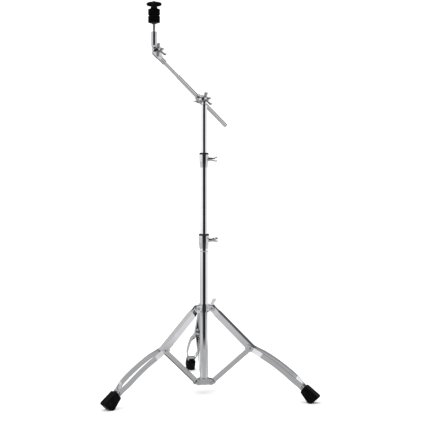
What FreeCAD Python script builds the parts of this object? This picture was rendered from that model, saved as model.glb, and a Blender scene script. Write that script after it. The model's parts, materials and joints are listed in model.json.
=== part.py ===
"""Boom cymbal stand: a folding tripod, three telescoping tubes, a boom and a cymbal seat.

The origin is on the floor under the pole. +Z is up, -Y faces the front, and the boom leans over
leg 1. Every size comes from the spreadsheet "Dims"; every sub-part is an object whose label is
its name, built in its own simple frame and then placed.
"""
import FreeCAD, Part
import Sketcher
import math
import operator
import os

DRIVING = {
    # tripod, seen in the plane of one leg
    "leg_azimuth": 218,
    "pivot_reach": 28,
    "hub_pivot_height": 37,
    "collar_pivot_height": 269,
    "elbow_reach": 157,
    "strip_end_reach": 327,
    "strip_end_height": 42,
    "strip_sagitta": 9.8,
    "sole_reach": 349,
    "sole_length": 12,
    "foot_width": 30,
    # forks and rivets
    "fork_gap": 12.6,
    "fork_wall": 3,
    "lug_radius": 9,
    "hub_ring_radius": 17.5,
    "collar_height": 25,
    "rivet_radius": 3,
    "rivet_head_radius": 5.5,
    "rivet_head_height": 2,
    # pressed leg members
    "sheet": 2,
    "channel_width": 22,
    "channel_depth": 19,
    "channel_drop": 9,
    "tongue_width": 12,
    "brace_width": 12,
    "brace_depth": 14,
    "strip_depth": 16,
    "strip_gauge": 3,
    "strip_bulge": 19.5,
    "strip_toe": 11,
    # tubes
    "base_outside": 25.4,
    "middle_outside": 22.2,
    "upper_outside": 19.05,
    "tube_wall": 1.2,
    "upper_wall": 1.5,
    "base_bottom": 29.5,
    "middle_bottom": 314,
    "upper_bottom": 572,
    "upper_top": 911.4,
    "lower_clamp_bottom": 457,
    "upper_clamp_bottom": 714,
    "running": 0.1,
    "free_gap": 0.3,
    # height clamps
    "clamp_wall_top": 3.8,
    "clamp_wall_bottom": 1.2,
    "clamp_height": 41,
    "clamp_seat": 15,
    "bushing_flange": 6,
    "bolt_radius": 4,
    # boom
    "boom_pivot_height": 932,
    "boom_elevation": 36.9,
    "boom_offset": 20,
    "boom_outside": 12.7,
    "boom_rear": 130,
    "boom_front": 114,
    "rod_radius": 5,
    "rod_end": 201,
    "tilter_reach": 219,
    "tilter_rise": 12,
    "ratchet_radius": 13,
    "ratchet_gap": 0.2,
    "disc_thickness": 7,
    "barrel_radius": 10.2,
    "liner_radius": 8,
    # cymbal arm, measured up from the cymbal tilter's axis
    "neck_lead": 7.7,
    "neck_radius": 8.7,
    "neck_bottom": 14,
    "neck_top": 56.4,
    "seat_height": 84,
    "felt_radius": 18.75,
    "lower_felt_height": 21.9,
    "upper_felt_height": 19.3,
    "sleeve_radius": 5.75,
    "sleeve_height": 39.6,
    "rod_top": 140.6,
    "top_nut_height": 23,
    "top_nut_span": 47.4,
}

doc = FreeCAD.newDocument("BoomCymbalStand")
sheet = doc.addObject("Spreadsheet::Sheet", "Dims")
parts = []


class Size(float):
    """A number that remembers the spreadsheet formula behind it."""

    def __new__(cls, number, formula):
        size = super().__new__(cls, number)
        size.formula = formula
        return size

    def __add__(self, other):
        return joined(operator.add, "+", self, other)

    def __radd__(self, other):
        return joined(operator.add, "+", other, self)

    def __sub__(self, other):
        return joined(operator.sub, "-", self, other)

    def __rsub__(self, other):
        return joined(operator.sub, "-", other, self)

    def __mul__(self, other):
        return joined(operator.mul, "*", self, other)

    def __rmul__(self, other):
        return joined(operator.mul, "*", other, self)

    def __truediv__(self, other):
        return joined(operator.truediv, "/", self, other)

    def __neg__(self):
        return 0 - self


def formula(number):
    """The spreadsheet formula of a size, or the digits of a plain number."""
    return number.formula if isinstance(number, Size) else repr(float(number))


def joined(action, sign, left, right):
    """The size that comes from joining two numbers with an arithmetic sign."""
    return Size(action(float(left), float(right)), f"({formula(left)} {sign} {formula(right)})")


def root(number):
    """The square root of a size."""
    return Size(math.sqrt(number), f"sqrt({formula(number)})")


def arctangent(rise, run):
    """The angle of a slope, in degrees."""
    angle = math.degrees(math.atan(rise / run))
    return Size(angle, f"(atan({formula(rise)} / {formula(run)}) / 1 deg)")


def fill_sheet():
    """Writes the driving dimensions to the sheet and gives each one back as a size."""
    sizes = {}
    for row, (name, number) in enumerate(DRIVING.items(), start=1):
        sheet.set(f"A{row}", name)
        sheet.set(f"B{row}", str(number))
        sheet.setAlias(f"B{row}", name)
        sizes[name] = Size(number, f"Dims.{name}")
    doc.recompute()
    return sizes


class Frame:
    """A place and a direction, as a placement and as the formula that gives it."""

    def __init__(self, placement=None, text=""):
        self.placement = placement or FreeCAD.Placement()
        self.text = text

    def moved(self, x=0, y=0, z=0, axis=(0, 0, 1), angle=0):
        """The frame shifted along its own axes, then turned about the given axis."""
        shift = FreeCAD.Vector(float(x), float(y), float(z))
        step = FreeCAD.Placement(shift, FreeCAD.Rotation(FreeCAD.Vector(*axis), float(angle)))
        text = (
            f"placement(vector({formula(x)}; {formula(y)}; {formula(z)}); "
            f"rotation(vector({axis[0]}; {axis[1]}; {axis[2]}); {formula(angle)}))"
        )
        return Frame(self.placement * step, f"{self.text} * {text}" if self.text else text)

    def put(self, thing):
        """Places an object in this frame."""
        thing.Placement = self.placement
        if self.text:
            thing.setExpression("Placement", self.text)
        return thing


# ---- drawing helpers ----------------------------------------------------------------------


def sketch(body, role, name, polygons=(), circles=()):
    """Adds a sketch to one origin plane of a body.

    A polygon is a list of (x, y) corners and a circle is (x, y, radius). Each corner, centre
    and radius is held by a constraint that reads its size from the sheet.
    """
    plane = next(feature for feature in body.Origin.OriginFeatures if feature.Role == role)
    drawing = body.newObject("Sketcher::SketchObject", name)
    drawing.AttachmentSupport = (plane, [""])
    drawing.MapMode = "FlatFace"

    def hold(kind, number, *where):
        index = drawing.addConstraint(Sketcher.Constraint(kind, *where, float(number)))
        drawing.setExpression(f"Constraints[{index}]", formula(number))

    def hold_point(x, y, edge, end):
        for kind, number in (("DistanceX", x), ("DistanceY", y)):
            if abs(float(number)) < 1e-9:
                other = -2 if kind == "DistanceX" else -1
                drawing.addConstraint(Sketcher.Constraint("PointOnObject", edge, end, other))
            elif number < 0:
                hold(kind, -number, edge, end, -1, 1)
            else:
                hold(kind, number, -1, 1, edge, end)

    for corners in polygons:
        points = [FreeCAD.Vector(float(x), float(y), 0) for x, y in corners]
        lines = [Part.LineSegment(a, b) for a, b in zip(points, points[1:] + points[:1])]
        edges = drawing.addGeometry(lines, False)
        for edge, after in zip(edges, edges[1:] + edges[:1]):
            drawing.addConstraint(Sketcher.Constraint("Coincident", edge, 2, after, 1))
        for edge, (x, y) in zip(edges, corners):
            hold_point(x, y, edge, 1)
    for x, y, radius in circles:
        centre = FreeCAD.Vector(float(x), float(y), 0)
        up = FreeCAD.Vector(0, 0, 1)
        edge = drawing.addGeometry(Part.Circle(centre, up, float(radius)), False)
        hold_point(x, y, edge, 3)
        hold("Radius", radius, edge)
    return drawing


def lift(drawing, distance):
    """Moves a drawing off its plane, along the plane's normal."""
    shift = FreeCAD.Vector(0, 0, float(distance))
    drawing.AttachmentOffset = FreeCAD.Placement(shift, FreeCAD.Rotation())
    drawing.setExpression("AttachmentOffset.Base.z", formula(distance))


def new_body(name):
    return doc.addObject("PartDesign::Body", name)


def sized(feature, **sizes):
    """Binds properties of a feature to their sizes."""
    for name, number in sizes.items():
        setattr(feature, name, float(number))
        feature.setExpression(name, formula(number))
    return feature


def pad(body, drawing, length, name="Pad"):
    """Grows a drawing evenly to both sides of its plane."""
    feature = body.newObject("PartDesign::Pad", name)
    feature.Profile = drawing
    feature.SideType = "Symmetric"
    return sized(feature, Length=length)


def pocket(body, drawing, name="Pocket"):
    """Cuts a drawing right through, to both sides of its plane."""
    feature = body.newObject("PartDesign::Pocket", name)
    feature.Profile = drawing
    feature.Type = "ThroughAll"
    feature.SideType = "Symmetric"
    return feature


def slot(body, drawing, width, name="Slot"):
    """Cuts a drawing evenly to both sides of its plane, to a limited width."""
    feature = body.newObject("PartDesign::Pocket", name)
    feature.Profile = drawing
    feature.SideType = "Symmetric"
    return sized(feature, Length=width)


def round_edges(body, radius, chosen, name="Fillet"):
    """Rounds the edges of the body's tip that the given test picks out."""
    doc.recompute()
    base = body.Tip
    picked = [f"Edge{i}" for i, edge in enumerate(base.Shape.Edges, start=1) if chosen(edge)]
    feature = body.newObject("PartDesign::Fillet", name)
    feature.Base = (base, picked)
    return sized(feature, Radius=radius)


def runs_along(edge, axis):
    """True for a straight edge that runs along one axis of the body."""
    if edge.Curve.TypeId != "Part::GeomLine":
        return False
    direction = edge.tangentAt(edge.FirstParameter)
    return abs(abs(getattr(direction, axis)) - 1) < 1e-6


def turned(name, outline, frame):
    """A body turned about its own Z axis from a closed outline of (radius, height) corners."""
    body = new_body(name)
    spin(body, outline)
    return finished(body, name, frame)


def spin(body, outline, name="Turning"):
    """Adds a revolution about the body's Z axis."""
    drawing = sketch(body, "XZ_Plane", f"{name}Outline", [outline])
    feature = body.newObject("PartDesign::Revolution", name)
    feature.Profile = drawing
    feature.ReferenceAxis = (drawing, ["V_Axis"])
    feature.Angle = 360
    return feature


def ring(inner, outer, bottom, top):
    """The closed outline of a plain ring."""
    return [(inner, bottom), (outer, bottom), (outer, top), (inner, top)]


def cylinder(radius, height, frame):
    """A plain cylinder along the frame's Z axis, starting at its origin."""
    return frame.put(sized(doc.addObject("Part::Cylinder", "Cylinder"), Radius=radius, Height=height))


def across(radius, x, y_from, y_to, z, frame=None):
    """A plain cylinder along Y between two stations."""
    start = (frame or Frame()).moved(x, y_from, z, axis=(1, 0, 0), angle=-90)
    return cylinder(radius, y_to - y_from, start)


def along(radius, x_from, x_to, y, z, frame=None):
    """A plain cylinder along X between two stations."""
    start = (frame or Frame()).moved(x_from, y, z, axis=(0, 1, 0), angle=90)
    return cylinder(radius, x_to - x_from, start)


def box(x_span, y_span, z_span):
    """A plain block between pairs of stations."""
    block = doc.addObject("Part::Box", "Box")
    spans = (x_span, y_span, z_span)
    for name, (low, high) in zip(("Length", "Width", "Height"), spans):
        sized(block, **{name: high - low})
    return Frame().moved(*(low for low, high in spans)).put(block)


def fused(pieces):
    union = doc.addObject("Part::MultiFuse", "Fusion")
    union.Shapes = pieces
    return union


def cut(base, tools):
    """The base with every tool taken away."""
    difference = doc.addObject("Part::Cut", "Cut")
    difference.Base = base
    difference.Tool = tools[0] if len(tools) == 1 else fused(tools)
    return difference


def grouped(pieces):
    """Separate solids kept together as one sub-part."""
    group = doc.addObject("Part::Compound", "Group")
    group.Links = pieces
    return group


def finished(thing, name, frame=None):
    """Names a sub-part, places it where a frame is given, and lists it for export."""
    thing.Label = name
    if frame:
        frame.put(thing)
    parts.append(thing)
    return thing


# ---- shared hardware ----------------------------------------------------------------------


def forked_ring(name, height, bore):
    """A ring with three forked lugs, one towards each leg, centred on its rivet height."""
    body = new_body(name)
    spin(body, ring(bore, D["hub_ring_radius"], -height / 2, height / 2))
    reach, lug = D["pivot_reach"], D["lug_radius"]
    width = D["fork_gap"] + 2 * D["fork_wall"]
    inside = bore + 2
    web = [(inside, -lug), (reach, -lug), (reach, lug), (inside, lug)]
    gap_start = D["hub_ring_radius"] + 0.1
    gap_end = reach + lug + 1
    gap = [(gap_start, -lug - 1), (gap_end, -lug - 1), (gap_end, lug + 1), (gap_start, lug + 1)]
    steps = [
        pad(body, sketch(body, "XZ_Plane", "WebOutline", [web]), width, "LugWeb"),
        pad(body, sketch(body, "XZ_Plane", "EyeOutline", circles=[(reach, 0, lug)]), width, "LugEye"),
        slot(body, sketch(body, "XZ_Plane", "GapOutline", [gap]), D["fork_gap"], "ForkGap"),
    ]
    hole = sketch(body, "XZ_Plane", "RivetHole", circles=[(reach, 0, D["rivet_radius"])])
    steps.append(slot(body, hole, width + 2, "RivetBore"))
    pattern = body.newObject("PartDesign::PolarPattern", "ThreeLugs")
    pattern.Originals = steps
    pattern.Axis = (steps[0].Profile[0], ["V_Axis"])
    pattern.Angle = 360
    pattern.Occurrences = 3
    body.Tip = pattern
    return body


def rivet(half_grip, x=0, z=0, frame=None):
    """A rivet across Y with a round head at each end."""
    head = D["rivet_head_height"]
    shank = across(D["rivet_radius"], x, -half_grip - head, half_grip + head, z, frame)
    heads = [
        across(D["rivet_head_radius"], x, low, low + head, z, frame)
        for low in (-half_grip - head, half_grip)
    ]
    return fused([shank] + heads)


def fork_rivets(name, height):
    """The three rivets of one forked ring."""
    half_grip = D["fork_gap"] / 2 + D["fork_wall"]
    rivets = [rivet(half_grip, D["pivot_reach"], 0, leg_frame(index)) for index in (1, 2, 3)]
    return finished(grouped(rivets), name, Frame().moved(z=height))


def wing_outline(half_span, hub_radius, hub_height, reach):
    """The flat outline of a pair of wings that flare away from the hub's foot."""
    right = [
        (hub_radius * 0.6, 2),
        (hub_radius + 1, 1.5),
        (half_span - 2, reach - 13),
        (half_span, reach - 8),
        (half_span, reach - 2),
        (half_span - 5, reach),
        (hub_radius + 1.5, hub_height - 2),
        (hub_radius * 0.6, hub_height - 1),
    ]
    return right + [(-x, z) for x, z in reversed(right)]


def winged(name, frame, half_span=22, hub_radius=6.5, hub_height=14, reach=22, shank=0, bore=0):
    """A wing bolt with a shank below the hub, or a wing nut with a bore through it."""
    body = new_body(name)
    top = hub_radius - 1.5
    if shank:
        bolt = D["bolt_radius"]
        outline = [(0, -shank), (bolt, -shank), (bolt, 0), (hub_radius, 0)]
        outline += [(top, hub_height), (0, hub_height)]
    else:
        outline = [(0, 0), (hub_radius, 0), (top, hub_height), (0, hub_height)]
    spin(body, outline)
    wings = wing_outline(half_span, hub_radius, hub_height, reach)
    pad(body, sketch(body, "XZ_Plane", "WingOutline", [wings]), 4, "Wings")
    tips = half_span - 5.5
    round_edges(body, 1.9, lambda edge: runs_along(edge, "y") and abs(edge.CenterOfMass.x) > tips)
    if bore:
        pocket(body, sketch(body, "XY_Plane", "BoreOutline", circles=[(0, 0, bore)]), "Bore")
    return finished(body, name, frame)


# ---- tripod -------------------------------------------------------------------------------


def leg_frame(index):
    """The frame of one leg: X points outwards along it, Y across it, Z up."""
    return Frame().moved(angle=D["leg_azimuth"] + 120 * (index - 1))


def leg_member(index, start_height, sign):
    """The frame of the channel or brace, whose X axis runs from its fork rivet to the elbow."""
    start = leg_frame(index).moved(D["pivot_reach"], 0, start_height)
    return start.moved(axis=(0, 1, 0), angle=sign * LEG_ANGLE)


def channel(index):
    """The upper leg: a channel open to the inside, its flanges drawn in to tongues at the collar."""
    name = f"leg_{index}_channel"
    body = new_body(name)
    wide, narrow = D["channel_width"] / 2, D["tongue_width"] / 2
    sheet_gauge, drop = D["sheet"], D["channel_drop"]
    rise = D["channel_depth"] - drop
    end = MEMBER_LENGTH + 10

    def plan(inset, start, stop):
        half = [(start, narrow - inset), (12, narrow - inset), (26, wide - inset)]
        half.append((stop, wide - inset))
        return half + [(x, -y) for x, y in reversed(half)]

    outer = sketch(body, "XY_Plane", "OuterPlan", [plan(0, -8, end)])
    inner = sketch(body, "XY_Plane", "InnerPlan", [plan(sheet_gauge, -9, end + 1)])
    for drawing, shift in ((outer, (rise - drop) / 2), (inner, (rise - drop) / 2 - sheet_gauge)):
        lift(drawing, shift)
    pad(body, outer, D["channel_depth"])
    slot(body, inner, D["channel_depth"], "Hollow")
    window = [(-9, -4), (22, -4), (22, 4), (-9, 4)]
    pocket(body, sketch(body, "XY_Plane", "WindowOutline", [window]), "Window")
    round_edges(body, 8, lambda edge: runs_along(edge, "y") and is_flange_end(edge, float(end)))
    holes = [(0, 0, D["rivet_radius"] + D["running"]), (MEMBER_LENGTH, 0, D["rivet_radius"])]
    pocket(body, sketch(body, "XZ_Plane", "RivetHoles", circles=holes), "RivetBores")
    return finished(body, name, leg_member(index, D["collar_pivot_height"], 1))


def is_flange_end(edge, end):
    """True for the corner edges at the tongues, and for the free corners at the elbow end."""
    x, z = edge.CenterOfMass.x, edge.CenterOfMass.z
    return x < -7.9 or (x > end - 0.1 and z < 0)


def brace(index):
    """The lower brace: a narrow channel open downwards, rounded round both rivets."""
    name = f"brace_{index}"
    body = new_body(name)
    half, deep, gauge = D["brace_width"] / 2, D["brace_depth"] / 2, D["sheet"]
    start, end = -deep, MEMBER_LENGTH + deep
    section = [(-half, -deep), (-half, deep), (half, deep), (half, -deep)]
    section += [(half - gauge, -deep), (half - gauge, deep - gauge)]
    section += [(gauge - half, deep - gauge), (gauge - half, -deep)]
    drawing = sketch(body, "YZ_Plane", "Section", [section])
    lift(drawing, MEMBER_LENGTH / 2)
    pad(body, drawing, end - start)
    clear = half - gauge
    windows = [
        [(low, -clear), (low + 16, -clear), (low + 16, clear), (low, clear)]
        for low in (-8, MEMBER_LENGTH - 8)
    ]
    pocket(body, sketch(body, "XY_Plane", "EndWindows", windows), "EndWindowCuts")
    middle = float(MEMBER_LENGTH / 2)
    round_edges(
        body,
        deep - 0.1,
        lambda edge: runs_along(edge, "y") and abs(edge.CenterOfMass.x - middle) > middle + 6.9,
    )
    hole = D["rivet_radius"] + D["running"]
    holes = [(0, 0, hole), (MEMBER_LENGTH, 0, hole)]
    pocket(body, sketch(body, "XZ_Plane", "RivetHoles", circles=holes), "RivetBores")
    return finished(body, name, leg_member(index, D["hub_pivot_height"], -1))


def strip_blank(side):
    """One curved strip of the lower leg, in the leg's own frame.

    A plate that bends from the channel's flange out to its bulge and back in to the foot is
    met by a ring that gives it its arch.
    """
    gauge = D["strip_gauge"] / 2
    flange, bulge, toe = D["channel_width"] / 2 + gauge, D["strip_bulge"], D["strip_toe"]
    middle = [(-12, flange), (12, flange), (26, flange + 2.2), (44, flange + 5.2)]
    middle += [(STRIP_CHORD - 48, bulge), (STRIP_CHORD - 38, bulge - 1.1)]
    middle += [(STRIP_CHORD - 28, bulge - 3.6), (STRIP_CHORD - 19, bulge - 6.6)]
    middle += [(STRIP_CHORD - 13, toe), (STRIP_CHORD + 22, toe)]
    plan = [(x, side * (y - gauge)) for x, y in middle]
    plan += [(x, side * (y + gauge)) for x, y in reversed(middle)]
    plate = new_body("StripPlate")
    pad(plate, sketch(plate, "XY_Plane", "Plan", [plan]), 80)
    chord = Frame().moved(D["elbow_reach"], 0, ELBOW_HEIGHT, axis=(0, 1, 0), angle=STRIP_SLOPE)
    chord.put(plate)
    arch_drop = D["strip_sagitta"] - STRIP_RADIUS
    half_depth = D["strip_depth"] / 2
    outer, inner = (
        across(STRIP_RADIUS + offset, STRIP_CHORD / 2, -wide, wide, arch_drop, chord)
        for offset, wide in ((half_depth, D["strip_bulge"] * 2), (-half_depth, D["strip_bulge"] * 3))
    )
    blank = doc.addObject("Part::MultiCommon", "StripBlank")
    blank.Shapes = [plate, cut(outer, [inner])]
    return blank


def lower_leg(index, blanks):
    """The two strips, the rivets and washers that hold them, and the rubber foot."""
    frame = leg_frame(index)
    elbow = Frame().moved(D["elbow_reach"], 0, ELBOW_HEIGHT)
    chord = elbow.moved(axis=(0, 1, 0), angle=STRIP_SLOPE)
    radius, half = D["rivet_radius"], D["strip_bulge"] * 2
    toe_x, toe_z = STRIP_CHORD - 7, 0.7
    for side, blank in blanks.items():
        holes = [
            across(radius, 0, -half, half, 0, elbow),
            across(radius, toe_x, -half, half, toe_z, chord),
        ]
        finished(cut(blank, holes), f"leg_{index}_{side}_strip", frame)
    grip = D["channel_width"] / 2 + D["strip_gauge"]
    toe_grip = D["strip_toe"] + D["strip_gauge"] / 2
    rivets = [rivet(grip, frame=elbow), rivet(toe_grip, toe_x, toe_z, chord)]
    finished(grouped(rivets), f"leg_{index}_rivets", frame)
    finished(elbow_washers(elbow), f"leg_{index}_elbow_washers", frame)
    finished(cut(foot_block(), list(blanks.values())), f"leg_{index}_foot", frame)


def elbow_washers(elbow):
    """Two washers that keep the brace in the middle of the channel."""
    inner = D["brace_width"] / 2 + D["free_gap"]
    outer = D["channel_width"] / 2 - D["sheet"]
    washers = []
    for low, high in ((inner, outer), (-outer, -inner)):
        disc = across(5, 0, low, high, 0, elbow)
        washers.append(cut(disc, [across(D["rivet_radius"], 0, -outer, outer, 0, elbow)]))
    return grouped(washers)


def foot_block():
    """The rubber foot as a block, in the leg's own frame, with a small flat sole."""
    sole, flat = D["sole_reach"], D["sole_length"] / 2
    side_view = [
        (sole - 30, 32),
        (sole - flat, 0),
        (sole + flat, 0),
        (sole + 28, 20),
        (sole - 15, 53),
    ]
    block = new_body("FootBlock")
    pad(block, sketch(block, "XZ_Plane", "SideView", [side_view]), D["foot_width"])
    round_edges(block, 5, lambda edge: runs_along(edge, "y") and edge.CenterOfMass.z > 1)
    side = float(D["foot_width"] / 2) - 0.5
    round_edges(
        block,
        1.5,
        lambda edge: abs(edge.CenterOfMass.y) > side and edge.CenterOfMass.z > 1,
        "SoftRims",
    )
    return block


def tripod():
    """Hub, collar and three legs with their braces."""
    bore = D["base_outside"] / 2
    low, high = D["hub_pivot_height"], D["collar_pivot_height"]
    hub = forked_ring("HubCasting", 2 * D["lug_radius"] + 1, bore)
    finished(hub, "hub", leg_frame(1).moved(z=low))
    fork_rivets("hub_rivets", low)
    collar = forked_ring("CollarCasting", D["collar_height"], bore + D["free_gap"])
    leg_frame(1).moved(z=high).put(collar)
    radial = Frame().moved(z=high + 3, angle=D["leg_azimuth"] - 180)
    finished(drilled_boss(collar, radial), "collar")
    fork_rivets("collar_rivets", high)
    outwards = radial.moved(x=27, axis=(0, 1, 0), angle=90)
    shank = 27 - bore - D["free_gap"]
    winged("collar_wing_bolt", outwards, half_span=23, shank=shank)
    for index in (1, 2, 3):
        channel(index)
        brace(index)
        lower_leg(index, {"near": strip_blank(1), "far": strip_blank(-1)})


def drilled_boss(casting, radial):
    """A ring with a boss on the given radial line, drilled for a wing bolt."""
    boss = along(7.5, 14.5, 26.5, 0, 0, radial)
    tunnel = along(D["bolt_radius"] + D["running"], 10, 28, 0, 0, radial)
    return cut(fused([casting, boss]), [tunnel])


# ---- pole ---------------------------------------------------------------------------------


def tube(name, outside, wall, bottom, top, groove=None):
    """A straight tube, with a shallow rolled groove round it where one is asked for."""
    radius = outside / 2
    outline = [(radius - wall, bottom), (radius, bottom)]
    if groove:
        outline += [(radius, groove - 1.5), (radius - 0.7, groove), (radius, groove + 1.5)]
    outline += [(radius, top), (radius - wall, top)]
    return turned(name, outline, Frame())


def height_clamp(name, outside, sliding, bottom, roll):
    """The casting on a tube's top end, its black bushing and its wing bolt."""
    radius = outside / 2
    top = bottom + D["clamp_height"]
    seat = bottom + D["clamp_seat"]
    sleeve = radius - 0.2
    wide = radius + D["clamp_wall_top"]
    outline = [(radius, bottom), (radius + D["clamp_wall_bottom"], bottom)]
    outline += [(wide - 0.6, top - 22), (wide, top - 6), (wide, top), (sleeve, top)]
    outline += [(sleeve, seat), (radius, seat)]
    casting = new_body(f"{name}_casting")
    spin(casting, outline)
    level = seat + 13
    bolt = D["bolt_radius"] + D["running"]
    boss = along(7, radius, wide + 6, 0, level)
    bore = cylinder(sleeve, D["clamp_height"], Frame().moved(z=seat))
    tunnel = along(bolt, sliding / 2 - 1, wide + 8, 0, level)
    body = cut(fused([casting, boss]), [bore, tunnel])
    finished(body, f"{name}_body", Frame())

    inner = sliding / 2 + D["running"]
    bushing = new_body(f"{name}_bushing_ring")
    flange_top = top + D["bushing_flange"]
    profile = [(inner, seat), (sleeve, seat), (sleeve, top), (wide - 0.3, top)]
    profile += [(wide - 0.3, flange_top - 1.5), (wide - 1.8, flange_top), (inner, flange_top)]
    spin(bushing, profile)
    finished(cut(bushing, [along(bolt, inner - 2, wide, 0, level)]), f"{name}_bushing", Frame())

    start = wide + 6.3
    outwards = Frame().moved(x=start, z=level, axis=(0, 1, 0), angle=90).moved(angle=roll)
    shank = start - sliding / 2 - D["free_gap"]
    winged(f"{name}_wing_bolt", outwards, half_span=18, shank=shank)


def guide(name, bore, sliding_bore, bottom, length):
    """The plastic bush under a sliding tube that centres it in the tube around it."""
    plug = sliding_bore - 0.1
    wide = bore - 0.1
    outline = [(plug - 2, bottom - 3), (wide, bottom - 3), (wide, bottom - 0.1)]
    outline += [(plug, bottom - 0.1), (plug, bottom + length), (plug - 2, bottom + length)]
    turned(name, outline, Frame())


def pole():
    """The three tubes with everything fixed to them below the boom."""
    base, middle, upper = D["base_outside"], D["middle_outside"], D["upper_outside"]
    wall = D["tube_wall"]
    seat = D["clamp_seat"]
    low, high = D["lower_clamp_bottom"], D["upper_clamp_bottom"]
    tube("base_tube", base, wall, D["base_bottom"], low + seat, groove=low - 9)
    tube("middle_tube", middle, wall, D["middle_bottom"], high + seat)
    tube("upper_tube", upper, D["upper_wall"], D["upper_bottom"], D["upper_top"])
    plug = base / 2 - wall
    bottom = D["base_bottom"]
    outline = [(0, bottom - 2), (base / 2, bottom - 2), (base / 2, bottom), (plug, bottom)]
    turned("base_end_plug", outline + [(plug, bottom + 12), (0, bottom + 12)], Frame())
    height_clamp("lower_clamp", base, middle, low, 70)
    height_clamp("upper_clamp", middle, upper, high, 115)
    inside = upper / 2 - D["upper_wall"]
    guide("middle_guide", base / 2 - wall, middle / 2 - wall, D["middle_bottom"], 14)
    guide("upper_guide", middle / 2 - wall, inside, D["upper_bottom"], 14)


# ---- boom ---------------------------------------------------------------------------------


def yaw_frame():
    """The frame of the boom's plane at its pivot, with Z up and X towards leg 1."""
    return Frame().moved(z=D["boom_pivot_height"], angle=D["leg_azimuth"])


def boom_frame():
    """The frame of the boom: X runs up along it and Y is the ratchet axis."""
    return yaw_frame().moved(axis=(0, 1, 0), angle=-D["boom_elevation"])


def tilter_frame():
    """The upright frame at the cymbal tilter's axis."""
    end = boom_frame().moved(D["tilter_reach"], -D["boom_offset"], D["tilter_rise"])
    return end.moved(axis=(0, 1, 0), angle=D["boom_elevation"])


def tilter_base():
    """The casting in the upper tube's end, with the fixed half of the ratchet."""
    bore = D["upper_outside"] / 2 - D["upper_wall"]
    drop = D["upper_top"] - D["boom_pivot_height"]
    cap = D["upper_outside"] / 2 + 0.5
    half = D["disc_thickness"] / 2
    stem = new_body("TilterStem")
    outline = [(0, drop - 25), (bore, drop - 25), (bore, drop), (cap, drop), (cap, drop + 2)]
    spin(stem, outline + [(7, drop + 3), (7, 0), (0, 0)])
    disc = across(D["ratchet_radius"], 0, -half, half, 0)
    boss = across(8.5, 0, half, half + 1.5, 0)
    tools = [
        across(D["bolt_radius"] + D["running"], 0, -20, 20, 0),
        across(17.3, 0, -20, -half, 0),
        across(10, 0, half + 1.5, 20, 0),
    ]
    finished(cut(fused([stem, disc, boss]), tools), "boom_tilter_base", yaw_frame())


def boom_clamp():
    """The moving half of the ratchet with the barrel that holds the boom, and its hardware."""
    frame = boom_frame()
    near = -D["disc_thickness"] / 2 - D["ratchet_gap"]
    offset, barrel, liner = D["boom_offset"], D["barrel_radius"], D["liner_radius"]
    bolt = D["bolt_radius"]
    boom = D["boom_outside"] / 2
    rear, front, lock_x = 15.5, 14.5, -8
    solid = fused([
        across(D["ratchet_radius"], 0, near - 6, near, 0),
        along(barrel, -rear, front, -offset, 0),
        across(9, 0, -offset, near - 3, 0),
        across(6.5, lock_x, -offset - 11.5, -offset, 0),
    ])
    hollow = [
        along(liner + D["running"], 2 - rear, front - 2, -offset, 0),
        along(boom + D["free_gap"], -rear - 1, front + 1, -offset, 0),
        across(bolt + D["running"], lock_x, -offset - 13, -offset, 0),
        across(bolt, 0, -offset, near + 1, 0),
    ]
    finished(cut(solid, hollow), "boom_clamp", frame)
    stud_start = liner + 0.4 - offset
    stud = fused([across(bolt, 0, stud_start, 32, 0), across(bolt - 1, 0, 32, 33, 0)])
    finished(stud, "pivot_stud", frame)
    half = D["disc_thickness"] / 2
    washer("pivot_washer", half + 1.7, yaw_frame())
    nut_place = yaw_frame().moved(0, half + 3.4, 0, axis=(1, 0, 0), angle=-90)
    winged("pivot_wing_nut", nut_place.moved(angle=-61), bore=bolt + D["running"])

    bore = along(boom + D["running"], -20, 20, 0, 0)
    slit = box((-20, 20), (-0.75, 0.75), (-liner - 1, 0))
    sleeve = cut(along(liner, 2.2 - rear, front - 2.2, 0, 0), [bore, slit])
    finished(sleeve, "boom_liner", frame.moved(y=-offset))
    lock = frame.moved(lock_x, -offset - 11.8, 0, axis=(1, 0, 0), angle=90)
    shank = 11.8 - liner - D["free_gap"]
    place = lock.moved(angle=-D["boom_elevation"])
    winged("boom_lock_bolt", place, half_span=17, hub_height=11, reach=17, shank=shank)


def washer(name, start, frame):
    """A plain washer across Y round a bolt."""
    disc = across(9, 0, start, start + 1.5, 0)
    hole = across(D["bolt_radius"] + D["running"], 0, start - 1, start + 3, 0)
    return finished(cut(disc, [hole]), name, frame)


def boom():
    """The boom tube with its end cap, the thinner rod in its front end, and the rod's ratchet."""
    frame = boom_frame().moved(y=-D["boom_offset"])
    lengthwise = frame.moved(axis=(0, 1, 0), angle=90)
    radius, rod = D["boom_outside"] / 2, D["rod_radius"]
    rear, front, end = -D["boom_rear"], D["boom_front"], D["rod_end"]
    outline = [(rod, rear), (radius, rear), (radius, front - 1), (radius - 1, front), (rod, front)]
    turned("boom_tube", outline, lengthwise)
    cap = [(0, rear - 3), (radius - 1, rear - 3), (radius, rear - 2), (radius, rear), (rod, rear)]
    turned("boom_end_cap", cap + [(rod, rear + 8), (0, rear + 8)], lengthwise)
    turned("boom_rod", [(0, front - 30), (rod, front - 30), (rod, end), (0, end)], lengthwise)
    lower_ratchet(frame)


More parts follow.
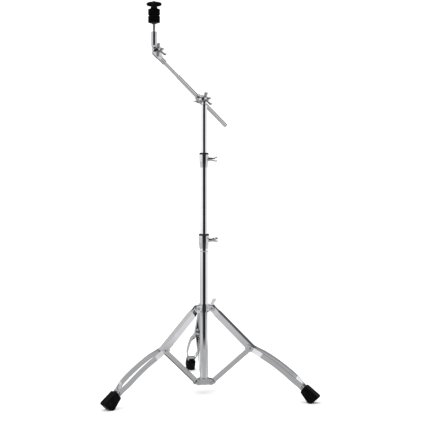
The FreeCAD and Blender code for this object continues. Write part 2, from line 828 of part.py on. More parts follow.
def lower_ratchet(frame):
    """The half of the cymbal tilter that is fixed on the boom rod."""
    reach, rise, end = D["tilter_reach"], D["tilter_rise"], D["rod_end"]
    gap, thick, radius = D["ratchet_gap"] / 2, 7.4, D["ratchet_radius"] - 0.5
    cheek = new_body("RatchetCheek")
    outline = [(end - 8, -7), (end + 3, -9.8), (reach + 8, -9.8), (reach + 12, -2)]
    outline += [(reach + 12, rise), (reach - 12, rise), (end - 8, 7)]
    pad(cheek, sketch(cheek, "XZ_Plane", "CheekOutline", [outline]), thick - gap)
    Frame().moved(y=(thick + gap) / 2).put(cheek)
    solid = fused([
        along(7.5, end - 27, end + 2.5, 0, 0),
        cheek,
        across(radius, reach, gap, 8.4, rise),
    ])
    holes = [
        along(D["rod_radius"], end - 30, end, 0, 0),
        across(D["bolt_radius"] + D["running"], reach, -5, 12, rise),
        across(radius + D["free_gap"], reach, -12, gap, rise),
    ]
    finished(cut(solid, holes), "lower_ratchet", frame)


def cymbal_arm():
    """The upper ratchet half with its neck, its bolt and nut, and the rod it carries."""
    frame = tilter_frame()
    gap, far = -D["ratchet_gap"] / 2, -8.1
    radius, bolt = D["ratchet_radius"] - 0.5, D["bolt_radius"]
    top, bottom = D["neck_top"], D["neck_bottom"]
    lead = D["neck_lead"]
    neck = cylinder(D["neck_radius"], top - bottom - 1, Frame().moved(lead, -4.5, bottom))
    lip = cylinder(D["neck_radius"] - 1, 1, Frame().moved(lead, -4.5, top - 1))
    web = new_body("NeckWeb")
    outline = [(-11.8, 3), (11.8, 3), (lead + 8, bottom), (lead + 8, bottom + 12)]
    outline += [(lead - 8, bottom + 12), (lead - 8, bottom + 3)]
    pad(web, sketch(web, "XZ_Plane", "WebOutline", [outline]), gap - far)
    Frame().moved(y=(gap + far) / 2).put(web)
    solid = fused([across(radius, 0, far, gap, 0), web, neck, lip])
    socket = cylinder(bolt, top, Frame().moved(lead, -4.5, top - 24))
    hole = across(bolt, 0, -20, 20, 0)
    finished(cut(solid, [socket, hole]), "upper_ratchet", frame)
    head = fused([across(8, 0, far - 3.5, far, 0), across(6, 0, far - 5, far - 3.5, 0)])
    tail = fused([across(bolt, 0, far, 34, 0), across(bolt - 1, 0, 34, 35, 0)])
    finished(fused([head, tail]), "tilter_bolt", frame)
    washer("tilter_washer", 8.7, frame)
    nut_place = frame.moved(0, 10.4, 0, axis=(1, 0, 0), angle=-90)
    winged("tilter_wing_nut", nut_place.moved(angle=-49), bore=bolt + D["running"])
    cymbal_seat(frame.moved(lead, -4.5))


def cymbal_seat(frame):
    """The threaded rod with everything that stacks on it, from the sleeve to the top nut."""
    bolt, sleeve = D["bolt_radius"], D["sleeve_radius"]
    seat, felt, gap = D["seat_height"], D["felt_radius"], D["free_gap"]
    start = D["neck_top"] - 24
    turned("cymbal_rod", [(0, start), (bolt, start), (bolt, D["rod_top"]), (0, D["rod_top"])], frame)
    outline = [(bolt, seat - 4), (6.5, seat - 4), (6.5, seat - 1.5), (sleeve, seat - 1.5)]
    outline += [(sleeve, seat + D["sleeve_height"]), (bolt, seat + D["sleeve_height"])]
    turned("cymbal_sleeve", outline, frame)
    rim = [(sleeve, seat - 1.5), (11, seat - 1.5), (12.5, seat), (sleeve, seat)]
    turned("cup_washer", rim, frame)
    low_top = seat + D["lower_felt_height"]
    felt_washer("lower_felt", seat, low_top, frame)
    top = low_top + gap + D["upper_felt_height"]
    felt_washer("upper_felt", low_top + gap, top, frame)
    top_nut(top, frame)


def felt_washer(name, bottom, top, frame):
    """A thick soft washer with rounded rims."""
    inner, outer, soft = D["sleeve_radius"] + D["free_gap"], D["felt_radius"], 3
    outline = [(inner, bottom), (outer - soft, bottom), (outer - 0.8, bottom + 0.8)]
    outline += [(outer, bottom + soft), (outer, top - soft), (outer - 0.8, top - 0.8)]
    outline += [(outer - soft, top), (inner, top)]
    turned(name, outline, frame)


def top_nut(bottom, frame):
    """The black wing nut: a flared foot under a flat T that spans the felts."""
    body = new_body("TopNutBody")
    height, half_span = D["top_nut_height"], D["top_nut_span"] / 2
    crown = height + 2.2
    outline = [(0, 0), (11, 0), (11, 2), (9.6, 7), (9.6, height - 3.5), (6, height + 0.4)]
    outline += [(2.4, height + 0.4), (1.8, crown), (0, crown)]
    spin(body, outline)
    right = [(5, 8), (half_span - 6, 9.5), (half_span - 1.5, 12), (half_span, 15.5)]
    right += [(half_span - 1.5, 19), (half_span - 7, 21.5), (5, height)]
    wings = right + [(-x, z) for x, z in reversed(right)]
    pad(body, sketch(body, "XZ_Plane", "WingOutline", [wings]), 9, "Wings")
    tips = float(half_span) - 8
    round_edges(body, 2.5, lambda edge: runs_along(edge, "y") and abs(edge.CenterOfMass.x) > tips)
    round_edges(body, 1.5, lambda edge: is_wing_rim(edge, tips), "Soft")
    depth = D["rod_top"] - bottom + 3
    bore = cylinder(D["bolt_radius"] + D["running"], depth, Frame().moved(z=-1))
    finished(cut(body, [bore]), "top_wing_nut", frame.moved(z=bottom, angle=-D["leg_azimuth"]))


def is_wing_rim(edge, tips):
    """True for the rims of the flat sides of the top nut's wings, away from its hub."""
    centre = edge.CenterOfMass
    return abs(centre.x) > tips - 2 and abs(abs(centre.y) - 4.5) < 0.01


def check_all():
    """Stops if any feature failed or left an empty or faulty shape."""
    for thing in doc.Objects:
        if "Invalid" in thing.State or "Error" in thing.State:
            raise RuntimeError(f"{thing.Label} did not compute: {thing.State}")
    for part in parts:
        if part.Shape.isNull() or not part.Shape.isValid() or not part.Shape.Solids:
            raise RuntimeError(f"{part.Label} has no sound solid")


def export_all():
    os.makedirs("parts", exist_ok=True)
    for part in parts:
        part.Shape.exportStep(f"parts/{part.Label}.step")


D = fill_sheet()
ELBOW_HEIGHT = (D["collar_pivot_height"] + D["hub_pivot_height"]) / 2
MEMBER_RISE = (D["collar_pivot_height"] - D["hub_pivot_height"]) / 2
MEMBER_RUN = D["elbow_reach"] - D["pivot_reach"]
MEMBER_LENGTH = root(MEMBER_RUN * MEMBER_RUN + MEMBER_RISE * MEMBER_RISE)
LEG_ANGLE = arctangent(MEMBER_RISE, MEMBER_RUN)
STRIP_RUN = D["strip_end_reach"] - D["elbow_reach"]
STRIP_FALL = ELBOW_HEIGHT - D["strip_end_height"]
STRIP_CHORD = root(STRIP_RUN * STRIP_RUN + STRIP_FALL * STRIP_FALL)
STRIP_SLOPE = arctangent(STRIP_FALL, STRIP_RUN)
STRIP_RADIUS = STRIP_CHORD * STRIP_CHORD / (8 * D["strip_sagitta"]) + D["strip_sagitta"] / 2

pole()
tripod()
tilter_base()
boom_clamp()
boom()
cymbal_arm()
doc.recompute()
check_all()
export_all()
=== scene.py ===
"""Looks of the boom cymbal stand: chrome, rubber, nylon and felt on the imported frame, in a pale studio."""

import json
import math

import bmesh
import bpy
from mathutils import Euler, Matrix, Vector, noise


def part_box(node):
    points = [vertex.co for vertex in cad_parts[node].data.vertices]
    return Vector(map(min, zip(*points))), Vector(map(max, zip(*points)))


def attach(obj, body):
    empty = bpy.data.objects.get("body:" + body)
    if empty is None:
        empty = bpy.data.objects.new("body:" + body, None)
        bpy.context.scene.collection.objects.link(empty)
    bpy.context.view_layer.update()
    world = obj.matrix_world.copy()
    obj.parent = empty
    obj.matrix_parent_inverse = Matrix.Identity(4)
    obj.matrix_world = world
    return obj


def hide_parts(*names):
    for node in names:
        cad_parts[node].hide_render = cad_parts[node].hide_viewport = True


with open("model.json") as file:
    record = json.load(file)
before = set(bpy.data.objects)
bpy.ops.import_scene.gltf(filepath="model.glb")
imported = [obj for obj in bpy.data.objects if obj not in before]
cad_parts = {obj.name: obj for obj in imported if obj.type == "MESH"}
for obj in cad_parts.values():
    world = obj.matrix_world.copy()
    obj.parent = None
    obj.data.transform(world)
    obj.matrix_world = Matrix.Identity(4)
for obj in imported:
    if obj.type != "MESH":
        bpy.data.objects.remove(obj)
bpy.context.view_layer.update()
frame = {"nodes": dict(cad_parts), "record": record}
NODES = frame["nodes"]
JOINTS = {joint["name"]: joint for joint in frame["record"]["behaviour"]["joints"]}

MM = 0.001


# ---- shader helpers -----------------------------------------------------------------------


class Shader:
    """A material under construction: nodes are added by type and wired by socket name."""

    def __init__(self, name):
        self.material = bpy.data.materials.new(name)
        self.material.use_nodes = True
        self.tree = self.material.node_tree
        self.surface = self.tree.nodes["Principled BSDF"]
        self.place = self.add("ShaderNodeTexCoord").outputs["Object"]

    def add(self, kind, inputs=None, **settings):
        node = self.tree.nodes.new(kind)
        for key, value in settings.items():
            setattr(node, key, value)
        for key, value in (inputs or {}).items():
            self.feed(node, key, value)
        return node

    def feed(self, node, key, value):
        if isinstance(value, bpy.types.NodeSocket):
            self.tree.links.new(value, node.inputs[key])
        else:
            node.inputs[key].default_value = value

    def noise(self, scale, detail=3.0, rough=0.55, stretch=None, seed=0.0):
        """Fractal noise over the object's own space, with scale in cycles per metre."""
        place = self.place
        if stretch:
            place = self.add("ShaderNodeMapping", {"Vector": place, "Scale": stretch}).outputs[0]
        inputs = {"Vector": place, "W": seed, "Scale": scale, "Detail": detail, "Roughness": rough}
        return self.add("ShaderNodeTexNoise", inputs, noise_dimensions="4D").outputs["Fac"]

    def spread(self, value, low, high, start=0.35, end=0.65):
        """Maps the middle of a noise to the range low to high."""
        inputs = {"Value": value, "From Min": start, "From Max": end, "To Min": low, "To Max": high}
        return self.add("ShaderNodeMapRange", inputs).outputs["Result"]

    def blend(self, factor, dark, light):
        node = self.add("ShaderNodeMix", data_type="RGBA")
        for socket, value in ((node.inputs[0], factor), (node.inputs[6], dark), (node.inputs[7], light)):
            if isinstance(value, bpy.types.NodeSocket):
                self.tree.links.new(value, socket)
            else:
                socket.default_value = (*value, 1) if isinstance(value, tuple) else value
        return node.outputs[2]

    def bump(self, height, distance, strength=1.0, under=None):
        inputs = {"Height": height, "Distance": distance, "Strength": strength}
        if under:
            inputs["Normal"] = under
        return self.add("ShaderNodeBump", inputs).outputs["Normal"]

    def finish(self, **inputs):
        for key, value in inputs.items():
            self.feed(self.surface, key.replace("_", " "), value)
        return self.material


def chrome(name, tone=0.80, smooth=0.05, dull=0.13, lines=None):
    """Plated metal: nearly a mirror, with handling haze, faint drawing lines and tiny pits."""
    shader = Shader(name)
    haze = shader.noise(38, detail=5, seed=1)
    smear = shader.noise(9, detail=2, seed=4)
    specks = shader.spread(shader.noise(900, detail=2, seed=7), 0, 1, 0.66, 0.78)
    cloud = shader.spread(haze, 0, 1, 0.3, 0.75)
    clean = shader.blend(cloud, (tone, tone, tone * 1.015), (tone * 0.93, tone * 0.935, tone * 0.95))
    colour = shader.blend(specks, clean, (tone * 0.6, tone * 0.58, tone * 0.55))
    gloss = shader.add(
        "ShaderNodeMath",
        {0: shader.spread(haze, smooth, dull), 1: shader.spread(smear, 0, 0.04)},
        operation="ADD",
    ).outputs[0]
    grain = shader.noise(240, detail=3, seed=2, stretch=lines or (1, 1, 1))
    normal = shader.bump(grain, 0.00004, 0.35)
    normal = shader.bump(haze, 0.0006, 0.06, under=normal)
    return shader.finish(Base_Color=colour, Metallic=1.0, Roughness=gloss, Normal=normal)


def zinc(name):
    """Turned steel with a soft zinc plate, as on rivets, washers and screw ends."""
    shader = Shader(name)
    grain = shader.noise(1400, detail=2, seed=3)
    cloud = shader.noise(120, detail=4, seed=5)
    colour = shader.blend(shader.spread(cloud, 0, 1), (0.50, 0.50, 0.51), (0.68, 0.68, 0.69))
    normal = shader.bump(grain, 0.00005, 0.5)
    rough = shader.spread(grain, 0.18, 0.36)
    return shader.finish(Base_Color=colour, Metallic=1.0, Roughness=rough, Normal=normal)


def rubber(name):
    """Moulded rubber: dull black with a fine pebbled skin and grey dust in the hollows."""
    shader = Shader(name)
    pebble = shader.noise(1100, detail=3, seed=6)
    cloud = shader.noise(70, detail=5, seed=8)
    dust = shader.spread(cloud, 0, 1, 0.48, 0.72)
    colour = shader.blend(dust, (0.0012, 0.0012, 0.0013), (0.006, 0.0059, 0.0058))
    normal = shader.bump(pebble, 0.00018, 0.6)
    normal = shader.bump(cloud, 0.0008, 0.15, under=normal)
    rough = shader.spread(cloud, 0.5, 0.72)
    return shader.finish(Base_Color=colour, Roughness=rough, Normal=normal, Specular_IOR_Level=0.07)


def nylon(name, light=0.010, gloss=0.25):
    """Moulded black nylon with a spark-eroded texture and rubbed, shinier patches."""
    shader = Shader(name)
    grain = shader.add(
        "ShaderNodeTexVoronoi", {"Vector": shader.place, "Scale": 1500.0}, feature="SMOOTH_F1"
    ).outputs["Distance"]
    cloud = shader.noise(85, detail=4, seed=9)
    colour = shader.blend(shader.spread(cloud, 0, 1), (light * 0.6,) * 3, (light * 1.5,) * 3)
    normal = shader.bump(grain, 0.00012, 0.5)
    rough = shader.spread(cloud, 0.30, 0.52)
    return shader.finish(Base_Color=colour, Roughness=rough, Normal=normal, Specular_IOR_Level=gloss)


def felt(name):
    """Pressed wool: matted fibres, lighter lint and a soft sheen."""
    shader = Shader(name)
    fibres = shader.noise(1600, detail=4, rough=0.7, stretch=(1, 1, 2.2), seed=11)
    mats = shader.noise(330, detail=4, rough=0.6, seed=12)
    lint = shader.spread(shader.noise(2600, detail=2, seed=13), 0, 1, 0.62, 0.74)
    body = shader.blend(shader.spread(mats, 0, 1), (0.0006, 0.0006, 0.0006), (0.0022, 0.0021, 0.0022))
    colour = shader.blend(lint, body, (0.008, 0.0077, 0.0074))
    normal = shader.bump(fibres, 0.0004, 0.9)
    normal = shader.bump(mats, 0.0010, 0.5, under=normal)
    material = shader.finish(Base_Color=colour, Roughness=0.96, Normal=normal, Specular_IOR_Level=0.02)
    shader.feed(shader.surface, "Sheen Weight", 0.012)
    shader.feed(shader.surface, "Sheen Roughness", 0.5)
    return material


LOOKS = {
    "tube": chrome("ChromeTube", 0.83, 0.035, 0.09, lines=(1, 1, 0.03)),
    "cast": chrome("ChromeCasting", 0.70, 0.07, 0.18),
    "pressed": chrome("ChromePressing", 0.75, 0.05, 0.13),
    "zinc": zinc("ZincSteel"),
    "rubber": rubber("FootRubber"),
    "nylon": nylon("BlackNylon"),
    "nut": nylon("TopNutNylon", 0.003, 0.07),
    "felt": felt("BlackFelt"),
}


def look_of(node):
    """Which finish a CAD node takes."""
    if node.endswith("_foot"):
        return "rubber"
    if node == "top_wing_nut":
        return "nut"
    if node in (
        "lower_clamp_bushing", "upper_clamp_bushing", "middle_guide", "upper_guide",
        "base_end_plug", "boom_liner", "cymbal_sleeve", "cup_washer",
    ):
        return "nylon"
    if node.endswith(("_rivets", "_washers", "_washer")):
        return "zinc"
    if node.endswith(("_tube", "_rod", "_cap")):
        return "tube"
    if node.endswith(("_channel", "_strip")) or node.startswith("brace_"):
        return "pressed"
    return "cast"


def dress(thing, look):
    """Gives a Blender piece one look."""
    thing.data.materials.clear()
    thing.data.materials.append(LOOKS[look])


for name, thing in NODES.items():
    for place in thing.material_slots:
        place.material = LOOKS[look_of(name)]


# ---- mesh helpers -------------------------------------------------------------------------


def new_piece(name, mesh, look, body, replaced=()):
    """A Blender piece that rides a body and stands in for the CAD nodes it replaces."""
    piece = bpy.data.objects.new(name, mesh)
    bpy.context.scene.collection.objects.link(piece)
    dress(piece, look)
    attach(piece, body)
    if replaced:
        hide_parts(*replaced)
    return piece


def lathe(rings, place, segments=64, wobble=0.0, seed=0.0):
    """A closed turned mesh from (radius, height) stations, wobbled a little where asked.

    The first and last stations close on the axis if their radius is zero, and otherwise meet
    each other, which leaves a bore.
    """
    work = bmesh.new()
    grid = []
    for radius, height in rings:
        if radius == 0:
            grid.append([work.verts.new((0, 0, height))])
            continue
        row = []
        for step in range(segments):
            angle = 2 * math.pi * step / segments
            point = Vector((radius * math.cos(angle), radius * math.sin(angle), height))
            if wobble:
                shift = noise.noise(point * 260 + Vector((seed, 0, 0)))
                shift += 0.5 * noise.noise(point * 900 + Vector((0, seed, 0)))
                point += Vector((point.x, point.y, 0)).normalized() * shift * wobble
            row.append(work.verts.new(point))
        grid.append(row)
    if rings[0][0] and rings[-1][0]:
        grid.append(grid[0])
    for low, high in zip(grid, grid[1:]):
        for step in range(segments):
            after = (step + 1) % segments
            if len(low) == 1:
                corners = (low[0], high[after], high[step])
            elif len(high) == 1:
                corners = (low[step], low[after], high[0])
            else:
                corners = (low[step], low[after], high[after], high[step])
            work.faces.new(corners)
    bmesh.ops.recalc_face_normals(work, faces=work.faces)
    work.transform(place)
    mesh = bpy.data.meshes.new("Turned")
    work.to_mesh(mesh)
    work.free()
    for face in mesh.polygons:
        face.use_smooth = True
    return mesh


def thread_height(turns):
    """How far up its flank a screw thread is, from 0 at the root to 1 at the crest."""
    part = turns % 1.0
    return min(1.0, max(0.0, 1.6 * (1 - abs(2 * part - 1)) - 0.3))


def screw(sections, place, pitch=1.25 * MM, depth=0.55 * MM, segments=32):
    """A closed mesh of stacked sections (radius, start, end, threaded), along Z from the first."""
    rings = []
    for radius, start, end, threaded in sections:
        steps = max(1, round((end - start) / pitch * 6)) if threaded else 1
        for step in range(steps + 1):
            rings.append((radius, start + (end - start) * step / steps, threaded))
    work = bmesh.new()
    grid = []
    for radius, height, threaded in rings:
        row = []
        for step in range(segments):
            turn = step / segments
            cut = depth * (1 - thread_height(height / pitch - turn)) if threaded else 0.0
            angle = 2 * math.pi * turn
            reach = radius - cut
            row.append(work.verts.new((reach * math.cos(angle), reach * math.sin(angle), height)))
        grid.append(row)
    for low, high in zip(grid, grid[1:]):
        for step in range(segments):
            after = (step + 1) % segments
            work.faces.new((low[step], low[after], high[after], high[step]))
    for row, height in ((grid[0], rings[0][1]), (grid[-1], rings[-1][1])):
        tip = work.verts.new((0, 0, height))
        for step in range(segments):
            work.faces.new((row[step], row[(step + 1) % segments], tip))
    bmesh.ops.recalc_face_normals(work, faces=work.faces)
    work.transform(place)
    mesh = bpy.data.meshes.new("Screw")
    work.to_mesh(mesh)
    work.free()
    for face in mesh.polygons:
        face.use_smooth = True
    mesh.set_sharp_from_angle(angle=math.radians(35))
    return mesh


def facing(point, axis):
    """The matrix that puts a mesh's own Z axis along the given axis, from the given point."""
    turn = Vector((0, 0, 1)).rotation_difference(Vector(axis)).to_matrix().to_4x4()
    return Matrix.Translation(Vector(point)) @ turn


def lumps(node):
    """The separate solids of a CAD node, each as a list of its points."""
    mesh = NODES[node].data
    spots = {}
    for vertex in mesh.vertices:
        spots.setdefault(tuple(round(c, 5) for c in vertex.co), []).append(vertex.index)
    first = {index: same[0] for same in spots.values() for index in same}
    parent = {index: index for index in first.values()}

    def head(index):
        while parent[index] != index:
            parent[index] = parent[parent[index]]
            index = parent[index]
        return index

    for face in mesh.polygons:
        ends = [head(first[index]) for index in face.vertices]
        for end in ends[1:]:
            parent[end] = ends[0]
            ends[0] = head(ends[0])
    groups = {}
    for index in parent:
        groups.setdefault(head(index), []).append(mesh.vertices[index].co.copy())
    return list(groups.values())


def joined(name, meshes):
    """One mesh made of several."""
    work = bmesh.new()
    for mesh in meshes:
        work.from_mesh(mesh)
    whole = bpy.data.meshes.new(name)
    work.to_mesh(whole)
    work.free()
    for face in whole.polygons:
        face.use_smooth = True
    whole.set_sharp_from_angle(angle=math.radians(40))
    return whole


# ---- rivets with domed heads --------------------------------------------------------------


def rivet_mesh(points, across):
    """A rivet with two domed heads that fills the room of the given CAD rivet.

    The dome is (radius, height) in millimetres, with the height measured from under the head.
    """
    centre = sum(points, Vector()) / len(points)
    reach = max((point - centre).dot(across) for point in points)
    dome = [(0.0, 2.0), (1.9, 1.9), (3.6, 1.5), (4.8, 0.9), (5.4, 0.25), (5.5, 0.0), (3.0, 0.0)]
    head = dome[0][1] * MM
    top = [(radius * MM, reach - head + height * MM) for radius, height in dome]
    bottom = [(radius, -height) for radius, height in reversed(top)]
    return lathe(top + bottom, facing(centre, across), segments=32)


def add_rivets(node, body, directions):
    """Replaces a node of rivets; each rivet takes the direction that is most nearly across it."""
    meshes = []
    for points in lumps(node):
        centre = sum(points, Vector()) / len(points)
        flat = Vector((centre.x, centre.y, 0)).normalized()
        across = min(directions, key=lambda way: abs(way.dot(flat)))
        meshes.append(rivet_mesh(points, across))
    new_piece(f"{node}_domed", joined(node, meshes), "zinc", body, [node])


lead = Vector(JOINTS["leg_fold"]["axis"])
turns = [Matrix.Rotation(math.radians(120 * step), 3, "Z") for step in range(3)]
sideways = [turn @ lead for turn in turns]
add_rivets("hub_rivets", "base", sideways)
add_rivets("collar_rivets", "sliding_collar", sideways)
for index, across in enumerate(sideways, start=1):
    add_rivets(f"leg_{index}_rivets", f"leg_{index}", [across])


# ---- screws -------------------------------------------------------------------------------

bolt_radius = 4 * MM
facing_front = -Vector(JOINTS["boom_tilt"]["axis"])  # the pivot bolts' threads point to the front

low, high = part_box("cymbal_rod")
centre = (low + high) / 2
length = high.z - low.z
rod = [(bolt_radius, 0, length - 1 * MM, True), (bolt_radius - 0.7 * MM, length - 0.9 * MM, length, False)]
rod_mesh = screw(rod, facing((centre.x, centre.y, low.z), (0, 0, 1)))
new_piece("cymbal_rod_screw", rod_mesh, "zinc", "cymbal_arm", ["cymbal_rod"])

stud = [
    (bolt_radius, -11.6 * MM, 5 * MM, False),
    (bolt_radius, 5.1 * MM, 32 * MM, True),
    (bolt_radius - 0.9 * MM, 32.2 * MM, 33 * MM, False),
]
stud_mesh = screw(stud, facing(JOINTS["boom_tilt"]["pos_m"], facing_front))
new_piece("pivot_stud_screw", stud_mesh, "zinc", "boom_holder", ["pivot_stud"])

tail = [
    (5.2 * MM, -13.1 * MM, -12.9 * MM, False),
    (6 * MM, -12.5 * MM, -11.7 * MM, False),
    (7.4 * MM, -11.6 * MM, -11.5 * MM, False),
    (8 * MM, -11.0 * MM, -8.1 * MM, False),
    (bolt_radius, -8.0 * MM, 9 * MM, False),
    (bolt_radius, 9.1 * MM, 34 * MM, True),
    (bolt_radius - 0.9 * MM, 34.2 * MM, 35 * MM, False),
]
tail_mesh = screw(tail, facing(JOINTS["cymbal_tilt"]["pos_m"], facing_front))
new_piece("tilter_bolt_screw", tail_mesh, "cast", "cymbal_arm", ["tilter_bolt"])


# ---- felts --------------------------------------------------------------------------------


def felt_pad(node, body, seed, meeting):
    """A pressed felt washer with a slack waist and a fuzzy skin, more rounded where the two meet."""
    low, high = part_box(node)
    centre = (low + high) / 2
    outer = (high.x - low.x) / 2 - 0.4 * MM
    bore = 6.1 * MM
    skin = 0.12 * MM
    height = high.z - low.z
    flat, bend, wall = 10, 7, 14

    def end_face(inward, drop):
        """Half an outline from the bore to the rim, with a shoulder of the given size."""
        half = [(bore, 0.3 * MM), (bore + 0.6 * MM, 0.1 * MM)]
        start = bore + 1 * MM
        half += [(start + (outer - inward - start) * step / (flat - 1), skin) for step in range(flat)]
        for step in range(1, bend + 1):
            turn = math.pi / 2 * step / bend
            radius = outer - inward + inward * math.sin(turn)
            half.append((radius, skin + drop * (1 - math.cos(turn))))
        return half

    crisp, soft = (2.6 * MM, 2.2 * MM), (5.4 * MM, 4.2 * MM)
    lower = end_face(*(soft if meeting == "bottom" else crisp))
    upper = end_face(*(soft if meeting == "top" else crisp))
    bottom, top = lower[-1][1], height - upper[-1][1]
    sides = []
    for step in range(1, wall):
        waist = 0.3 * MM * math.sin(math.pi * step / wall)
        sides.append((outer - waist, bottom + (top - bottom) * step / wall))
    outline = lower + sides
    upper = [(radius, height - level) for radius, level in reversed(upper)]
    mesh = lathe(outline + upper, Matrix.Translation((centre.x, centre.y, low.z)), 128, 0.22 * MM, seed)
    piece = new_piece(f"{node}_pad", mesh, "felt", body, [node])
    return piece


felt_pad("lower_felt", "felt_below", 3.1, "top")
felt_pad("upper_felt", "felt_above", 8.4, "bottom")


# ---- studio -------------------------------------------------------------------------------

FLOOR_HALF = 30  # metres from the middle to a side
# Painted reflection: the floor glows grey in reflections only, fading out between these two radii.
PAINTED_REFLECTION_CORE, PAINTED_REFLECTION_EDGE = 0.75, 1.0  # metres from the pole where the mirrored floor starts and ends its fade
# Painted reflection: the grey that the floor glows with, seen only by glossy rays.
PAINTED_REFLECTION_TONE = (0.51, 0.51, 0.515, 1)


def build_floor():
    """A plain pale floor. Reflections see a painted reflection on it instead: a glowing grey disc round the
    pole that fades out, an emission that only glossy rays see.
    """
    look = Shader("PaleFloor")
    cloud = look.noise(3, detail=3, seed=15)
    paper = look.add(
        "ShaderNodeBsdfDiffuse",
        {"Color": look.blend(look.spread(cloud, 0, 1), (0.945,) * 3, (0.955,) * 3)},
    )
    from_pole = look.add("ShaderNodeVectorMath", {0: look.place}, operation="LENGTH")
    near = look.add(
        "ShaderNodeMapRange",
        {
            "Value": from_pole.outputs["Value"],
            "From Min": PAINTED_REFLECTION_CORE,
            "From Max": PAINTED_REFLECTION_EDGE,
            "To Min": 1.0,
            "To Max": 0.0,
        },
    )
    clear = look.add("ShaderNodeBsdfTransparent")
    # Painted reflection: an emission glow on the floor that only glossy rays see, which darkens what the
    # chrome mirrors below.
    painted_reflection_glow = look.add("ShaderNodeEmission", {"Color": PAINTED_REFLECTION_TONE})
    mirrored = look.add(
        "ShaderNodeMixShader", {0: near.outputs["Result"], 1: clear.outputs[0], 2: painted_reflection_glow.outputs[0]}
    )
    rays = look.add("ShaderNodeLightPath")
    mix = look.add(
        "ShaderNodeMixShader", {0: rays.outputs["Is Glossy Ray"], 1: paper.outputs[0], 2: mirrored.outputs[0]}
    )
    look.feed(look.tree.nodes["Material Output"], "Surface", mix.outputs[0])
    half = FLOOR_HALF
    corners = [(-half, -half, 0), (half, -half, 0), (half, half, 0), (-half, half, 0)]
    mesh = bpy.data.meshes.new("Floor")
    mesh.from_pydata(corners, [], [(0, 1, 2, 3)])
    floor = bpy.data.objects.new("Floor", mesh)
    mesh.materials.append(look.material)
    bpy.context.scene.collection.objects.link(floor)


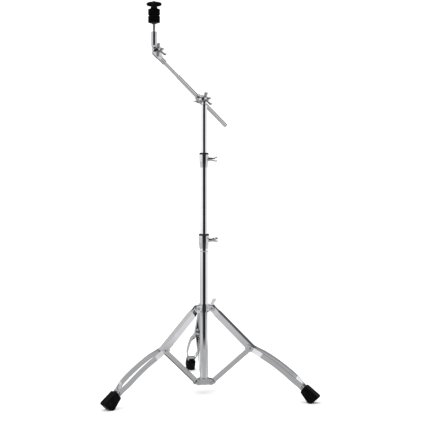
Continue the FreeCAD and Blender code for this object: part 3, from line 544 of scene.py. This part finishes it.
def build_world():
    """A plain white surround for the camera. Mirrors see a shaped studio: a dark front, pale sides,
    a bright left wall at eye level, a dark band behind on the right, a pale ceiling and a grey floor.

    A direction's height is 1 straight up and -1 straight down.
    """
    world = bpy.data.worlds.new("Studio")
    world.use_nodes = True
    tree = world.node_tree
    tree.nodes.clear()

    def add(kind, inputs=None, **settings):
        node = tree.nodes.new(kind)
        for key, value in settings.items():
            setattr(node, key, value)
        for key, value in (inputs or {}).items():
            if isinstance(value, bpy.types.NodeSocket):
                tree.links.new(value, node.inputs[key])
            else:
                node.inputs[key].default_value = value
        return node

    def ramp(value, start, end, low, high):
        inputs = {"Value": value, "From Min": start, "From Max": end, "To Min": low, "To Max": high}
        return add("ShaderNodeMapRange", inputs, interpolation_type="SMOOTHSTEP").outputs["Result"]

    def combine(kind, first, second):
        return add("ShaderNodeMath", {0: first, 1: second}, operation=kind).outputs[0]

    def lobe(azimuth, outer, inner):
        """1 within the inner angle of a direction, 0 beyond the outer one; 0 is the front, 90 the right."""
        turn = math.radians(azimuth)
        aim = (math.sin(turn), -math.cos(turn), 0)
        along = add("ShaderNodeVectorMath", {0: level, 1: aim}, operation="DOT_PRODUCT").outputs["Value"]
        return ramp(along, math.cos(math.radians(outer)), math.cos(math.radians(inner)), 0.0, 1.0)

    def towards(value, mask, target):
        """Moves a brightness to a target where the mask is 1."""
        keep = combine("MULTIPLY", value, combine("SUBTRACT", 1.0, mask))
        return combine("ADD", keep, combine("MULTIPLY", mask, target))

    way = add("ShaderNodeTexCoord").outputs["Generated"]
    height = add("ShaderNodeSeparateXYZ", {0: way}).outputs["Z"]
    level = add("ShaderNodeVectorMath", {0: way, 1: (1, 1, 0)}, operation="MULTIPLY").outputs[0]
    level = add("ShaderNodeVectorMath", {0: level}, operation="NORMALIZE").outputs[0]
    wall, left, right, rear_right, rear_left = 0.78, 1.12, 0.90, 1.12, 0.46
    bright = towards(wall, lobe(90, 60, 20), right)
    bright = towards(bright, lobe(150, 50, 12), rear_right)
    bright = towards(bright, lobe(-150, 46, 10), rear_left)
    dark_band, ceiling, far_floor, front_floor, dark_front = 0.12, 0.80, 0.27, 0.34, 0.02
    band = combine("MULTIPLY", ramp(height, 0.14, 0.24, 0.0, 1.0), ramp(height, 0.46, 0.58, 1.0, 0.0))
    bright = towards(bright, combine("MULTIPLY", band, lobe(135, 75, 50)), dark_band)
    bright = towards(bright, ramp(height, 0.52, 0.62, 0.0, 0.8), ceiling)
    bright = towards(bright, ramp(height, -0.14, -0.55, 0.0, 1.0), far_floor)
    front = lobe(6, 52, 30)
    floor_edge = ramp(height, -0.30, -0.42, 0.0, 1.0)
    bright = towards(bright, combine("MULTIPLY", front, floor_edge), front_floor)
    sight = combine("MULTIPLY", ramp(height, 0.86, 0.70, 0.0, 1.0), combine("SUBTRACT", 1.0, floor_edge))
    bright = towards(bright, combine("MULTIPLY", front, sight), dark_front)
    eye_level = combine("MULTIPLY", ramp(height, -0.12, -0.03, 0.0, 1.0), ramp(height, 0.13, 0.16, 1.0, 0.0))
    bright = towards(bright, combine("MULTIPLY", eye_level, lobe(-100, 62, 48)), left)
    tint = add("ShaderNodeCombineColor", {0: bright, 1: bright, 2: combine("MULTIPLY", bright, 1.02)})
    seen = add("ShaderNodeBackground", {"Color": (1, 1, 1, 1), "Strength": 1.2})
    mirrored = add("ShaderNodeBackground", {"Color": tint.outputs[0], "Strength": 1.0})
    rays = add("ShaderNodeLightPath")
    either = combine("MAXIMUM", rays.outputs["Is Camera Ray"], rays.outputs["Is Diffuse Ray"])
    mix = add("ShaderNodeMixShader", {0: either, 1: mirrored.outputs[0], 2: seen.outputs[0]})
    add("ShaderNodeOutputWorld", {"Surface": mix.outputs[0]})
    bpy.context.scene.world = world


def softbox(name, place, aim, size, power):
    """A rectangular area light at a place, turned to its aim."""
    data = bpy.data.lights.new(name, "AREA")
    data.shape = "RECTANGLE"
    data.size, data.size_y = size
    data.energy = power
    lamp = bpy.data.objects.new(name, data)
    lamp.location = place
    lamp.rotation_euler = (Vector(aim) - Vector(place)).to_track_quat("-Z", "Y").to_euler()
    bpy.context.scene.collection.objects.link(lamp)
    return lamp


def build_camera(place, lens, shift):
    """A level camera that looks along +Y."""
    data = bpy.data.cameras.new("Camera")
    data.sensor_width = 36
    data.lens = lens
    data.shift_x, data.shift_y = shift
    camera = bpy.data.objects.new("Camera", data)
    camera.location = place
    camera.rotation_euler = Euler((math.radians(90), 0, 0))
    bpy.context.scene.collection.objects.link(camera)
    bpy.context.scene.camera = camera


build_floor()
build_world()
middle = (0, 0, 0.6)
key = softbox("KeyLight", (-2.2, -2.0, 3.2), middle, (1.4, 1.4), 36)
key.visible_glossy = False
softbox("TopLight", (0.5, 0.6, 3.8), middle, (3.4, 3.4), 30)
build_camera((0, -2.75, 0.648), 72.5, (0.0256, -0.0619))
bpy.context.scene.view_settings.view_transform = "Standard"
